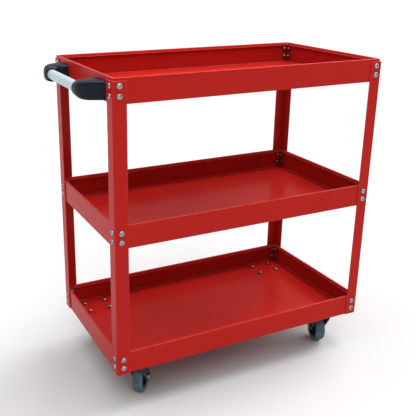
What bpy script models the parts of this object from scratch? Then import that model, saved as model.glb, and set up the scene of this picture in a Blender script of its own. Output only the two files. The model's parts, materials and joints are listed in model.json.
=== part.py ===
"""Three-tray rolling tool trolley: sheet steel trays on four angle posts, a push handle, swivel casters.

Metres, +Z up. X runs along the trolley with the handle at the -X end, Y runs across it with the
front at -Y, and the floor is z = 0. The origin is under the middle of the overall box.
"""
from math import cos, pi, radians, sin

import bmesh
import bpy
from mathutils import Matrix, Vector

# Fits
TOUCH = 0.0003              # gap between two pieces that rest on each other
HOLE_CLEARANCE = 0.0003     # added to the radius of a hole round its screw or pin

# Facets round a full turn
HOLE_SIDES = 8
FASTENER_SIDES = 12
RING_SIDES = 20
HUB_SIDES = 16
TYRE_SIDES = 32

# Frame: outer faces of the posts, and lowest tray edge to highest rim
FRAME_LENGTH = 0.660
FRAME_DEPTH = 0.360
FRAME_HEIGHT = 0.650

# Angle posts
POST_FLANGE = 0.030
POST_WALL = 0.0020
POST_INNER_BEND = 0.0010
POST_TOP_DROP = 0.006       # the rim of the top tray stands this far above the posts

# Trays
TRAY_HEIGHT = 0.052
TRAY_WALL = 0.0012
TRAY_FOOT_BEND = 0.0020     # outer radius of the fold between a side and the deck
TRAY_CORNER_CLEARANCE = 0.0015
MIDDLE_TRAY_BASE = 0.297    # above the lowest tray edge
RIM_WIDTH = 0.0050
RIM_LIP = 0.0070
RIM_EDGE = 0.0008           # small rounding along the rim's two top edges

# Screws through posts and tray sides
SCREW_RADIUS = 0.0030
SCREW_HEAD_RADIUS = 0.0060
SCREW_HEAD_HEIGHT = 0.0028
SCREW_PITCH = 0.020         # between the two screws of one flange
NUT_ACROSS_FLATS = 0.0100
NUT_HEIGHT = 0.0048
THREAD_END = 0.0018         # thread that stands out of a nut
NUT_UNDER_LIP = 0.0032      # clear space between the rim lip and the upper nut

# Handle
TUBE_RADIUS = 0.0110
TUBE_WALL = 0.0015
TUBE_INSERTION = 0.018      # how deep the tube sits in each bracket
SOCKET_WALL = 0.0050
HANDLE_REACH = 0.035        # tube axis out from the post faces
BRACKET_WIDTH = 0.055       # across the trolley, at the root
BRACKET_POST_GAP = 0.010    # between the bracket and the edge of the post
BRACKET_TOP_DROP = 0.010    # below the rim
BRACKET_FOOT = 0.002        # above the lower edge of the tray
MOUTH_SETBACK = 0.004       # the socket mouth stops this far short of the root's inner side
ARM_OUTER_TAPER = 0.010     # how much the arm narrows on its outer side before the bend
ARM_INNER_TAPER = 0.005     # and on its inner side

# Casters
WHEEL_RADIUS = 0.0375
WHEEL_WIDTH = 0.024
TYRE_THICKNESS = 0.0105
TYRE_SHOULDER = 0.0060      # radius of the round edge of the tread
WHEEL_TOP_GAP = 0.0117      # between the tread and the fork crown
HUB_RIM_WIDTH = 0.020
HUB_WEB = 0.008
HUB_BOSS_RADIUS = 0.0095
HUB_SIDE_PLAY = 0.0010      # between each fork leg and the hub boss
BOSS_STANDOFF = 0.0010      # the hub boss stands this far past the tyre
TRAIL = 0.026               # wheel axle behind the swivel axis
FORK_SHEET = 0.0025
FORK_BEND = 0.0040
FORK_CROWN_LENGTH = 0.044
FORK_EYE_RADIUS = 0.0115
AXLE_RADIUS = 0.0040
AXLE_ACROSS_FLATS = 0.0130
AXLE_HEAD = 0.0045
PLATE_LENGTH = 0.076
PLATE_WIDTH = 0.060
PLATE_SHEET = 0.0025
PLATE_CORNER = 0.006
PLATE_END_GAP = 0.031       # plate edge in from the short side of the frame
PLATE_SIDE_GAP = 0.018      # plate edge in from the long side of the frame
BOLT_SPAN_LENGTH = 0.055
BOLT_SPAN_WIDTH = 0.041
BOLT_RADIUS = 0.0030
BOLT_HEAD = 0.0040
BOSS_RADIUS = 0.0210        # round boss pressed into the plate
BOSS_DEPTH = 0.0032
RACE_RADIUS = 0.0230
RACE_HEIGHT = 0.0042
RACE_WALL = 0.0110
KINGPIN_RADIUS = 0.0050
KINGPIN_HEAD_RADIUS = 0.0085
KINGPIN_HEAD = 0.0030
REST_YAW = {"front_left": 40, "front_right": 18, "rear_left": 64, "rear_right": 58}

# Worked out from the sizes above
HEAD_STACK = PLATE_SHEET + BOSS_DEPTH + RACE_HEIGHT + FORK_SHEET + 3 * TOUCH
CASTER_HEIGHT = 2 * WHEEL_RADIUS + WHEEL_TOP_GAP + HEAD_STACK
TRAY_SET_IN = POST_WALL + TOUCH
TRAY_CORNER = POST_INNER_BEND + TRAY_CORNER_CLEARANCE
SCREW_LINE = POST_FLANGE / 2
NUT_ACROSS_CORNERS = NUT_ACROSS_FLATS / cos(radians(30))
UPPER_ROW = RIM_LIP + NUT_UNDER_LIP + NUT_ACROSS_CORNERS / 2
SOCKET_RADIUS = TUBE_RADIUS + TOUCH + SOCKET_WALL
FRAME_X = (HANDLE_REACH + SOCKET_RADIUS - SCREW_HEAD_HEIGHT - TOUCH) / 2
TRAY_BASES = {"bottom": 0.0, "middle": MIDDLE_TRAY_BASE, "top": FRAME_HEIGHT - TRAY_HEIGHT}
CORNERS = {
    "front_left": (-1, -1), "front_right": (1, -1), "rear_left": (-1, 1), "rear_right": (1, 1),
}

# Finishes: colour, roughness, metallic
FINISHES = {
    "red_powder_coat": ((0.398, 0.021, 0.017), 0.34, 0.0),
    "zinc_plate": ((0.560, 0.590, 0.620), 0.32, 1.0),
    "black_plastic": ((0.020, 0.023, 0.029), 0.48, 0.0),
    "grey_tube": ((0.520, 0.550, 0.600), 0.38, 0.0),
    "grey_rubber": ((0.070, 0.115, 0.140), 0.62, 0.0),
    "black_steel": ((0.028, 0.030, 0.034), 0.40, 0.3),
    "hub_plastic": ((0.030, 0.032, 0.036), 0.50, 0.0),
}


def clear_scene():
    for item in list(bpy.data.objects):
        bpy.data.objects.remove(item, do_unlink=True)


def material(name):
    found = bpy.data.materials.get(name)
    if found:
        return found
    colour, roughness, metallic = FINISHES[name]
    made = bpy.data.materials.new(name)
    made.use_nodes = True
    shader = made.node_tree.nodes["Principled BSDF"]
    shader.inputs["Base Color"].default_value = (*colour, 1.0)
    shader.inputs["Roughness"].default_value = roughness
    shader.inputs["Metallic"].default_value = metallic
    made.diffuse_color = (*colour, 1.0)
    return made


def link(name, shape, finish, place=None, parent=None):
    """Turn a bmesh into a named object, smooth on its round faces."""
    bmesh.ops.recalc_face_normals(shape, faces=shape.faces)
    mesh = bpy.data.meshes.new(name)
    shape.to_mesh(mesh)
    shape.free()
    mesh.shade_smooth()
    mesh.set_sharp_from_angle(angle=radians(32))
    made = bpy.data.objects.new(name, mesh)
    bpy.context.scene.collection.objects.link(made)
    if finish:
        mesh.materials.append(material(finish))
    made.parent = parent
    made.matrix_basis = place or Matrix()
    return made


def empty(name, place, parent=None):
    made = bpy.data.objects.new(name, None)
    bpy.context.scene.collection.objects.link(made)
    made.parent = parent
    made.matrix_basis = place
    return made


def boolean(target, shape, operation, name):
    """Cut, join or intersect target with a shape given in target's own coordinates."""
    tool = link(name, shape, None, target.matrix_basis.copy(), target.parent)
    tool.hide_render = True
    tool.display_type = "WIRE"
    step = target.modifiers.new(name, "BOOLEAN")
    step.operation = operation
    step.object = tool
    return tool


def skin(shape, loops, closed=False):
    """Join loops of points, all of one length, with quads and cap the first and last."""
    rings = [[shape.verts.new(point) for point in loop] for loop in loops]
    pairs = list(zip(rings, rings[1:]))
    if closed:
        pairs.append((rings[-1], rings[0]))
    for low, high in pairs:
        count = len(low)
        for index in range(count):
            after = (index + 1) % count
            shape.faces.new((low[index], low[after], high[after], high[index]))
    if not closed:
        shape.faces.new(rings[0])
        shape.faces.new(rings[-1])


def circle(radius, height, sides, turn=0.0):
    step = 2 * pi / sides
    return [
        Vector((radius * cos(turn + step * index), radius * sin(turn + step * index), height))
        for index in range(sides)
    ]


def turned(profile, sides, closed=False):
    """A body of revolution about Z from (radius, height) points."""
    shape = bmesh.new()
    skin(shape, [circle(radius, height, sides) for radius, height in profile], closed)
    return shape


def add_prism(shape, outline, low, high, matrix=None):
    """Extrude a flat outline between two heights, then move it by matrix."""
    matrix = matrix or Matrix()
    skin(shape, [[matrix @ Vector((x, y, z)) for x, y in outline] for z in (low, high)])


def add_rod(shape, radius, low, high, sides, matrix=None):
    step = 2 * pi / sides
    outline = [(radius * cos(step * (index + 0.5)), radius * sin(step * (index + 0.5)))
               for index in range(sides)]
    add_prism(shape, outline, low, high, matrix)


def arc(centre_x, centre_y, radius, start, end, steps):
    """Points on an arc, angles in degrees."""
    angles = [radians(start + (end - start) * index / steps) for index in range(steps + 1)]
    return [(centre_x + radius * cos(a), centre_y + radius * sin(a)) for a in angles]


def rounded_rectangle(half_x, half_y, radius, steps=2):
    points = []
    for sign_x, sign_y, start in ((1, 1, 0), (-1, 1, 90), (-1, -1, 180), (1, -1, 270)):
        points += arc(sign_x * (half_x - radius), sign_y * (half_y - radius),
                      radius, start, start + 90, steps)
    return points


# Fasteners: a screw and its nut are one solid along Z, with the clamped stack from z = 0 downwards

def pan_screw(grip):
    """Pan head above z = 0, shank through the grip, hexagon nut and thread end below it."""
    sides = FASTENER_SIDES
    nut_top = -grip - TOUCH
    nut_foot = nut_top - NUT_HEIGHT
    tip = nut_foot - THREAD_END
    flat = SCREW_HEAD_RADIUS
    shape = bmesh.new()
    loops = [
        circle(flat * 0.55, SCREW_HEAD_HEIGHT + TOUCH, sides),
        circle(flat * 0.90, SCREW_HEAD_HEIGHT * 0.70 + TOUCH, sides),
        circle(flat, TOUCH, sides),
        circle(SCREW_RADIUS, TOUCH, sides),
        circle(SCREW_RADIUS, nut_top, sides),
        hexagon(NUT_ACROSS_FLATS, nut_top, sides),
        hexagon(NUT_ACROSS_FLATS, nut_foot, sides),
        circle(SCREW_RADIUS, nut_foot, sides),
        circle(SCREW_RADIUS * 0.8, tip, sides),
    ]
    skin(shape, loops)
    return shape


def hexagon(across_flats, height, sides):
    """A hexagon with a point added in the middle of each side, to match a circle of 12 points."""
    points = []
    for index in range(sides):
        angle = 2 * pi * index / sides
        reach = across_flats / 2 if index % 2 else across_flats / 2 / cos(radians(30))
        points.append(Vector((reach * cos(angle), reach * sin(angle), height)))
    return points


def hex_bolt(radius, across_flats, head, grip, nut_height, thread_end):
    """Hexagon head above z = 0, shank through the grip, nut and thread end below it."""
    sides = FASTENER_SIDES
    nut_top = -grip - TOUCH
    nut_foot = nut_top - nut_height
    shape = bmesh.new()
    loops = [
        hexagon(across_flats, head + TOUCH, sides),
        hexagon(across_flats, TOUCH, sides),
        circle(radius, TOUCH, sides),
        circle(radius, nut_top, sides),
        hexagon(across_flats, nut_top, sides),
        hexagon(across_flats, nut_foot, sides),
        circle(radius, nut_foot, sides),
        circle(radius * 0.8, nut_foot - thread_end, sides),
    ]
    skin(shape, loops)
    return shape


# Frame

def screw_places(sign_x, sign_y, base):
    """World matrices of the four screws of one tray corner: +Z of each points out of the flange."""
    places = []
    rim = CASTER_HEIGHT + base + TRAY_HEIGHT
    for row in (UPPER_ROW, UPPER_ROW + SCREW_PITCH):
        height = rim - row
        across = Matrix.Translation((
            FRAME_X + sign_x * (FRAME_LENGTH / 2 - SCREW_LINE), sign_y * FRAME_DEPTH / 2, height))
        along = Matrix.Translation((
            FRAME_X + sign_x * FRAME_LENGTH / 2, sign_y * (FRAME_DEPTH / 2 - SCREW_LINE), height))
        places.append(("face", across @ Matrix.Rotation(-sign_y * pi / 2, 4, "X")))
        places.append(("side", along @ Matrix.Rotation(sign_x * pi / 2, 4, "Y")))
    return places


def screw_holes(corners, bases):
    """Cutters for the screw holes of the given corners and trays."""
    shape = bmesh.new()
    reach = 2 * (POST_WALL + TRAY_WALL)
    for sign_x, sign_y in corners:
        for base in bases:
            for _, place in screw_places(sign_x, sign_y, base):
                add_rod(shape, SCREW_RADIUS + HOLE_CLEARANCE, -reach, reach, HOLE_SIDES, place)
    return shape


def post(name, sign_x, sign_y):
    outer = POST_INNER_BEND + POST_WALL
    inner_centre = POST_WALL + POST_INNER_BEND
    outline = [(POST_FLANGE, 0), (POST_FLANGE, POST_WALL)]
    outline += arc(inner_centre, inner_centre, POST_INNER_BEND, 270, 180, 3)
    outline += [(POST_WALL, POST_FLANGE), (0, POST_FLANGE)]
    outline += arc(outer, outer, outer, 180, 270, 4)
    corner_x = FRAME_X + sign_x * FRAME_LENGTH / 2
    corner_y = sign_y * FRAME_DEPTH / 2
    placed = [(corner_x - sign_x * x, corner_y - sign_y * y) for x, y in outline]
    shape = bmesh.new()
    add_prism(shape, placed, CASTER_HEIGHT, CASTER_HEIGHT + FRAME_HEIGHT - POST_TOP_DROP)
    made = link(f"post_{name}", shape, "red_powder_coat")
    holes = screw_holes([(sign_x, sign_y)], TRAY_BASES.values())
    boolean(made, holes, "DIFFERENCE", f"cut_post_{name}")


def tray_loop(inset, height):
    """A rectangle with round corners, inset from the outside of the tray."""
    half_x = FRAME_LENGTH / 2 - TRAY_SET_IN - inset
    half_y = FRAME_DEPTH / 2 - TRAY_SET_IN - inset
    radius = max(TRAY_CORNER - inset, TRAY_CORNER / 4)
    return [Vector((FRAME_X + x, y, height)) for x, y in rounded_rectangle(half_x, half_y, radius)]


def tray(name, base):
    foot = CASTER_HEIGHT + base
    rim = foot + TRAY_HEIGHT
    bend = [(TRAY_FOOT_BEND + x, foot + TRAY_FOOT_BEND + y)
            for x, y in arc(0, 0, TRAY_FOOT_BEND, 270, 180, 3)]
    profile = bend + [
        (0, rim - RIM_EDGE),
        (RIM_EDGE, rim),
        (RIM_WIDTH - RIM_EDGE, rim),
        (RIM_WIDTH, rim - RIM_EDGE),
        (RIM_WIDTH, rim - RIM_LIP),
        (RIM_WIDTH - TRAY_WALL, rim - RIM_LIP),
        (RIM_WIDTH - TRAY_WALL, rim - TRAY_WALL),
        (TRAY_WALL, rim - TRAY_WALL),
        (TRAY_WALL, foot + TRAY_FOOT_BEND),
        (TRAY_FOOT_BEND, foot + TRAY_WALL),
    ]
    shape = bmesh.new()
    skin(shape, [tray_loop(inset, height) for inset, height in profile])
    made = link(f"{name}_tray", shape, "red_powder_coat")
    boolean(made, screw_holes(CORNERS.values(), [base]), "DIFFERENCE", f"cut_{name}_tray")
    if name == "bottom":
        holes = bmesh.new()
        for corner in CORNERS:
            for place in bolt_places(corner):
                add_rod(holes, BOLT_RADIUS + HOLE_CLEARANCE, -2 * TRAY_WALL - PLATE_SHEET,
                        2 * TRAY_WALL + PLATE_SHEET, HOLE_SIDES, place)
        boolean(made, holes, "DIFFERENCE", "cut_bottom_tray_bolts")


def post_screws():
    """The uppermost screw of each front and rear flange, and of the flanges at the far end."""
    grip = POST_WALL + TOUCH + TRAY_WALL
    for name, (sign_x, sign_y) in CORNERS.items():
        for kind, place in screw_places(sign_x, sign_y, TRAY_BASES["top"])[:2]:
            if kind == "face" or sign_x > 0:
                link(f"post_screw_{kind}_{name}", pan_screw(grip), "zinc_plate", place)


# Handle

def bracket_section(inner, outer, half_height, middle, exponent, sides=24):
    """Upright closed curve between two plan points, from boxy (high exponent) to round (2)."""
    centre = [(a + b) / 2 for a, b in zip(inner, outer)]
    half = [(b - a) / 2 for a, b in zip(inner, outer)]
    points = []
    for index in range(sides):
        angle = 2 * pi * (index + 0.5) / sides
        level = abs(cos(angle)) ** (2 / exponent) * (1 if cos(angle) > 0 else -1)
        rise = abs(sin(angle)) ** (2 / exponent) * (1 if sin(angle) > 0 else -1)
        points.append(Vector((centre[0] + half[0] * level, centre[1] + half[1] * level,
                              middle + half_height * rise)))
    return points


def bracket(name, side):
    """Moulded elbow: a boxy root on the tray side that turns into a round socket for the tube."""
    face = FRAME_X - FRAME_LENGTH / 2
    root = face + TRAY_SET_IN - TOUCH
    rim = CASTER_HEIGHT + FRAME_HEIGHT
    top = rim - BRACKET_TOP_DROP
    foot = rim - TRAY_HEIGHT + BRACKET_FOOT
    middle = (top + foot) / 2
    tall = (top - foot) / 2
    outer_y = FRAME_DEPTH / 2 - POST_FLANGE - BRACKET_POST_GAP
    inner_y = outer_y - BRACKET_WIDTH
    mouth_y = inner_y + MOUTH_SETBACK
    bend_x = face - HANDLE_REACH + SOCKET_RADIUS
    tube_x = face - HANDLE_REACH
    arm_outer = outer_y - ARM_OUTER_TAPER
    arm_inner = inner_y + ARM_INNER_TAPER
    loops = [
        bracket_section((root, side * inner_y), (root, side * outer_y), tall, middle, 7),
        bracket_section((face, side * inner_y), (face, side * outer_y), tall, middle, 7),
    ]
    bend_steps = 6
    softness = 0.8          # below 1 the outside of the elbow is squarer than a quarter circle
    for index in range(bend_steps + 1):
        share = index / bend_steps
        turn = share * pi / 2
        along = max(cos(turn), 0.0) ** softness
        out = sin(turn) ** softness
        inner = (bend_x, side * (mouth_y + (arm_inner - mouth_y) * along))
        outer = (bend_x - 2 * SOCKET_RADIUS * out, side * (mouth_y + (arm_outer - mouth_y) * along))
        height = tall + (SOCKET_RADIUS - tall) * share
        loops.append(bracket_section(inner, outer, height, middle, 6 - 4 * share))
    bore = TUBE_RADIUS + TOUCH
    for depth in (0.0, TUBE_INSERTION + TOUCH):
        y = side * (mouth_y + depth)
        loops.append(bracket_section((tube_x + bore, y), (tube_x - bore, y), bore, middle, 2))
    shape = bmesh.new()
    skin(shape, loops)
    link(f"handle_bracket_{name}", shape, "black_plastic")
    return tube_x, mouth_y, middle


def handle():
    tube_x, mouth_y, middle = bracket("front", -1)
    bracket("rear", 1)
    half = mouth_y + TUBE_INSERTION
    inner = TUBE_RADIUS - TUBE_WALL
    profile = [(TUBE_RADIUS, -half), (TUBE_RADIUS, half), (inner, half), (inner, -half)]
    place = Matrix.Translation((tube_x, 0, middle)) @ Matrix.Rotation(pi / 2, 4, "X")
    link("handle_tube", turned(profile, 24, closed=True), "grey_tube", place)


# Casters: each is built about its swivel axis, z = 0 at the underside of the bottom tray

def caster_centre(corner):
    sign_x, sign_y = CORNERS[corner]
    return Vector((
        FRAME_X + sign_x * (FRAME_LENGTH / 2 - PLATE_END_GAP - PLATE_LENGTH / 2),
        sign_y * (FRAME_DEPTH / 2 - PLATE_SIDE_GAP - PLATE_WIDTH / 2),
        CASTER_HEIGHT,
    ))


def bolt_places(corner):
    """World matrices of a caster's four bolts, z = 0 under the plate and +Z pointing down."""
    places = []
    centre = caster_centre(corner)
    drop = TOUCH + PLATE_SHEET
    for x in (-BOLT_SPAN_LENGTH / 2, BOLT_SPAN_LENGTH / 2):
        for y in (-BOLT_SPAN_WIDTH / 2, BOLT_SPAN_WIDTH / 2):
            spot = Matrix.Translation(centre + Vector((x, y, -drop)))
            places.append(spot @ Matrix.Rotation(pi, 4, "X"))
    return places


def plate(corner):
    top = -TOUCH
    foot = top - PLATE_SHEET
    shape = bmesh.new()
    add_prism(shape, rounded_rectangle(PLATE_LENGTH / 2, PLATE_WIDTH / 2, PLATE_CORNER), foot, top)
    made = link(f"caster_plate_{corner}", shape, "zinc_plate",
                Matrix.Translation(caster_centre(corner)))
    boss = turned([(BOSS_RADIUS - BOSS_DEPTH / 2, foot - BOSS_DEPTH),
                   (BOSS_RADIUS, foot - BOSS_DEPTH / 2),
                   (BOSS_RADIUS, foot + PLATE_SHEET / 2)], RING_SIDES)
    boolean(made, boss, "UNION", f"join_boss_{corner}")
    holes = bmesh.new()
    add_rod(holes, KINGPIN_RADIUS + HOLE_CLEARANCE, -HEAD_STACK, HEAD_STACK, FASTENER_SIDES)
    for x in (-BOLT_SPAN_LENGTH / 2, BOLT_SPAN_LENGTH / 2):
        for y in (-BOLT_SPAN_WIDTH / 2, BOLT_SPAN_WIDTH / 2):
            spot = Matrix.Translation((x, y, 0))
            add_rod(holes, BOLT_RADIUS + HOLE_CLEARANCE, -HEAD_STACK, HEAD_STACK, HOLE_SIDES, spot)
    boolean(made, holes, "DIFFERENCE", f"cut_plate_{corner}")


def kingpin(corner):
    """Rivet from the top of the plate down to its head under the fork crown."""
    under_crown = -HEAD_STACK - TOUCH
    profile = [
        (KINGPIN_RADIUS, -TOUCH),
        (KINGPIN_RADIUS, under_crown),
        (KINGPIN_HEAD_RADIUS, under_crown),
        (KINGPIN_HEAD_RADIUS * 0.9, under_crown - KINGPIN_HEAD / 2),
        (KINGPIN_HEAD_RADIUS * 0.5, under_crown - KINGPIN_HEAD),
    ]
    link(f"caster_kingpin_{corner}", turned(profile, FASTENER_SIDES), "zinc_plate",
         Matrix.Translation(caster_centre(corner)))


def race(corner, swivel):
    """Ball race: a ring between the plate's boss and the fork crown."""
    top = -2 * TOUCH - PLATE_SHEET - BOSS_DEPTH
    foot = top - RACE_HEIGHT
    inner = RACE_RADIUS - RACE_WALL
    profile = [(inner, foot), (RACE_RADIUS, foot), (RACE_RADIUS, top), (inner, top)]
    link(f"caster_race_{corner}", turned(profile, RING_SIDES, closed=True), "zinc_plate",
         None, swivel)


def fork(corner, swivel, axle_z):
    """One folded sheet: an inverted channel trimmed to the side view of crown, legs and eyes."""
    inner = WHEEL_WIDTH / 2 + BOSS_STANDOFF + HUB_SIDE_PLAY
    outer = inner + FORK_SHEET
    top = -HEAD_STACK + FORK_SHEET
    reach = TRAIL + 2 * FORK_EYE_RADIUS + FORK_CROWN_LENGTH
    low = axle_z - 2 * FORK_EYE_RADIUS
    bend_in = FORK_BEND - FORK_SHEET
    channel = [(outer, low)]
    channel += arc(outer - FORK_BEND, top - FORK_BEND, FORK_BEND, 0, 90, 3)
    channel += arc(-outer + FORK_BEND, top - FORK_BEND, FORK_BEND, 90, 180, 3)
    channel += [(-outer, low), (-inner, low)]
    channel += arc(-inner + bend_in, top - FORK_BEND, bend_in, 180, 90, 3)
    channel += arc(inner - bend_in, top - FORK_BEND, bend_in, 90, 0, 3)
    channel += [(inner, low)]
    shape = bmesh.new()
    lay = Matrix(((0, 0, 1, 0), (1, 0, 0, 0), (0, 1, 0, 0), (0, 0, 0, 1)))
    add_prism(shape, channel, -reach, reach, lay)
    made = link(f"caster_fork_{corner}", shape, "black_steel", None, swivel)
    half_crown = FORK_CROWN_LENGTH / 2
    shoulder = top - FORK_BEND - FORK_SHEET
    side = [(half_crown, top + FORK_SHEET), (-half_crown, top + FORK_SHEET), (-half_crown, shoulder)]
    side += arc(TRAIL, axle_z, FORK_EYE_RADIUS, 200, 380, 9)
    side += [(half_crown + TRAIL / 4, shoulder - FORK_EYE_RADIUS), (half_crown, shoulder)]
    outline = bmesh.new()
    stand = Matrix(((1, 0, 0, 0), (0, 0, 1, 0), (0, 1, 0, 0), (0, 0, 0, 1)))
    add_prism(outline, side, -2 * outer, 2 * outer, stand)
    boolean(made, outline, "INTERSECT", f"trim_fork_{corner}")
    holes = bmesh.new()
    add_rod(holes, KINGPIN_RADIUS + HOLE_CLEARANCE, -2 * HEAD_STACK, 0, FASTENER_SIDES)
    eye = Matrix.Translation((TRAIL, 0, axle_z)) @ Matrix.Rotation(pi / 2, 4, "X")
    add_rod(holes, AXLE_RADIUS + HOLE_CLEARANCE, -2 * outer, 2 * outer, FASTENER_SIDES, eye)
    boolean(made, holes, "DIFFERENCE", f"cut_fork_{corner}")


def wheel(corner, swivel, axle_z):
    """Axle bolt, hub and tyre about the axle; the wheel turns about its own Z."""
    place = Matrix.Translation((TRAIL, 0, axle_z)) @ Matrix.Rotation(pi / 2, 4, "X")
    turning = empty(f"wheel_centre_{corner}", place, swivel)
    inner = WHEEL_WIDTH / 2 + BOSS_STANDOFF + HUB_SIDE_PLAY
    outer = inner + FORK_SHEET
    bolt = hex_bolt(AXLE_RADIUS, AXLE_ACROSS_FLATS, AXLE_HEAD, 2 * outer, AXLE_HEAD, THREAD_END)
    link(f"caster_axle_{corner}", bolt, "zinc_plate",
         place @ Matrix.Translation((0, 0, outer)), swivel)
    boss = inner - HUB_SIDE_PLAY
    seat = WHEEL_RADIUS - TYRE_THICKNESS - TOUCH
    flange = seat - 0.2 * TYRE_THICKNESS
    bore = AXLE_RADIUS + HOLE_CLEARANCE
    half_rim = HUB_RIM_WIDTH / 2
    half_web = HUB_WEB / 2
    profile = [
        (bore, -boss), (HUB_BOSS_RADIUS, -boss), (HUB_BOSS_RADIUS, -half_web),
        (flange, -half_web), (flange, -half_rim), (seat, -half_rim),
        (seat, half_rim), (flange, half_rim), (flange, half_web),
        (HUB_BOSS_RADIUS, half_web), (HUB_BOSS_RADIUS, boss), (bore, boss),
    ]
    link(f"caster_hub_{corner}", turned(profile, HUB_SIDES, closed=True), "hub_plastic",
         None, turning)
    half = WHEEL_WIDTH / 2
    well = seat + TOUCH
    edge = half - TYRE_SHOULDER
    crown = WHEEL_RADIUS - TYRE_SHOULDER
    tread = [(well, -half)]
    tread += arc(crown, -edge, TYRE_SHOULDER, 270, 360, 2)
    tread += arc(crown, edge, TYRE_SHOULDER, 0, 90, 2)
    tread += [(well, half)]
    link(f"caster_tyre_{corner}", turned(tread, TYRE_SIDES, closed=True), "grey_rubber",
         None, turning)


def caster(corner):
    yaw = radians(90 - REST_YAW[corner])
    swivel = empty(f"swivel_{corner}",
                   Matrix.Translation(caster_centre(corner)) @ Matrix.Rotation(yaw, 4, "Z"))
    axle_z = WHEEL_RADIUS - CASTER_HEIGHT
    plate(corner)
    kingpin(corner)
    race(corner, swivel)
    fork(corner, swivel, axle_z)
    wheel(corner, swivel, axle_z)
    grip = PLATE_SHEET + TOUCH + TRAY_WALL
    for index, place in enumerate(bolt_places(corner), 1):
        bolt = hex_bolt(BOLT_RADIUS, NUT_ACROSS_FLATS, BOLT_HEAD, grip, NUT_HEIGHT, THREAD_END)
        link(f"caster_bolt_{corner}_{index}", bolt, "zinc_plate", place)


def main():
    clear_scene()
    for name, base in TRAY_BASES.items():
        tray(name, base)
    for name, (sign_x, sign_y) in CORNERS.items():
        post(name, sign_x, sign_y)
    post_screws()
    handle()
    for corner in CORNERS:
        caster(corner)


main()
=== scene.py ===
"""Visual model of a three-tray rolling tool trolley.

Folded sheet trays hang on four angle posts, with a moulded push handle at the -X end and four swivel
casters underneath. Metres, +Z up, the front at -Y. Every place comes from the boxes and joints of the
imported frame, so each piece sits exactly where its solid is.
"""
import json
import logging
from dataclasses import dataclass, field
from enum import Enum
from math import atan2, cos, pi, radians, sin
from typing import Any, Iterable, Mapping, Sequence

import bmesh
import bpy
from mathutils import Matrix, Vector

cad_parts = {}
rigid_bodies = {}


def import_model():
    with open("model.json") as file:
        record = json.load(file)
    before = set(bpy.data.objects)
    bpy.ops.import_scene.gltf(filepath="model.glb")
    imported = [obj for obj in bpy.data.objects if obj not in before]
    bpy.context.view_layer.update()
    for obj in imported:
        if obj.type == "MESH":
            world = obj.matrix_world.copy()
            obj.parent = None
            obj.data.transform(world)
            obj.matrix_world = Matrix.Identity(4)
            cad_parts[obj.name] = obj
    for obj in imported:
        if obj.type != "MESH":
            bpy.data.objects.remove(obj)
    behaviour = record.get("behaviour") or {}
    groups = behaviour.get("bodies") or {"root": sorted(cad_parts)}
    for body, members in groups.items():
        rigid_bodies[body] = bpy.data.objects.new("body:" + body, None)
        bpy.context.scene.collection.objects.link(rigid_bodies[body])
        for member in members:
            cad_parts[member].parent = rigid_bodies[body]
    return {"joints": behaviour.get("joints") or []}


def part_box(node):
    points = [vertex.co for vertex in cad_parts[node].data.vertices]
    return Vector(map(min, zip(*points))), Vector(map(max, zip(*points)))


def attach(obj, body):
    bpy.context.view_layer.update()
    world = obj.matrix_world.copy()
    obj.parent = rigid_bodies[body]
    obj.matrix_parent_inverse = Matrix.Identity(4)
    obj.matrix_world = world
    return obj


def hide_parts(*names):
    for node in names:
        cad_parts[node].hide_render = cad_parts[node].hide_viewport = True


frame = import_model()

LOG = logging.getLogger("trolley")
FRAME_BODY = "root"
CORNERS = ("front_left", "front_right", "rear_left", "rear_right")
SHARP_ANGLE = radians(34)       # edges that turn more than this are drawn as creases
TOUCH = 0.0003                  # gap that touching pieces keep
UP = Vector((0.0, 0.0, 1.0))
Colour = tuple[float, float, float]


class Finish(Enum):
    """The finishes of the trolley, each under the name of its material slot."""

    RED = "red_powder_coat"
    ZINC = "zinc_plate"
    PLASTIC = "black_plastic"
    TUBE = "grey_tube"
    RUBBER = "grey_rubber"
    STEEL = "black_steel"
    HUB = "hub_plastic"


# Node trees

class Board:
    """Adds nodes to a tree, sets their options and joins their sockets."""

    def __init__(self, tree: bpy.types.NodeTree) -> None:
        """Work on one tree."""
        self.tree = tree

    def add(self, kind: str, inputs: Mapping[Any, Any] | None = None, **options: Any) -> bpy.types.Node:
        """Add a node.

        Args:
            kind: Blender's name for the node type.
            inputs: values or sockets for its inputs, by name or number.
            **options: settings of the node itself, such as its operation.

        Returns:
            The new node.
        """
        node = self.tree.nodes.new(kind)
        for option, value in options.items():
            setattr(node, option, value)
        for key, value in (inputs or {}).items():
            self.feed(node.inputs[key], value)
        return node

    def feed(self, socket: bpy.types.NodeSocket, value: Any) -> None:
        """Join a socket to another one, or set its value.

        Args:
            socket: the input to fill.
            value: a field, a socket or a plain value.
        """
        if isinstance(value, Sum):
            value = value.socket
        if isinstance(value, bpy.types.NodeSocket):
            self.tree.links.new(value, socket)
        else:
            socket.default_value = value

    def math(self, operation: str, *values: Any) -> "Sum":
        """Add a Math node.

        Args:
            operation: what it works out, such as MULTIPLY.
            *values: its inputs in order.

        Returns:
            The result, ready for more arithmetic.
        """
        node = self.add("ShaderNodeMath", dict(enumerate(values)), operation=operation)
        return Sum(self, node.outputs[0])

    def sum(self, socket: bpy.types.NodeSocket) -> "Sum":
        """Wrap a socket for arithmetic."""
        return Sum(self, socket)


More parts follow.
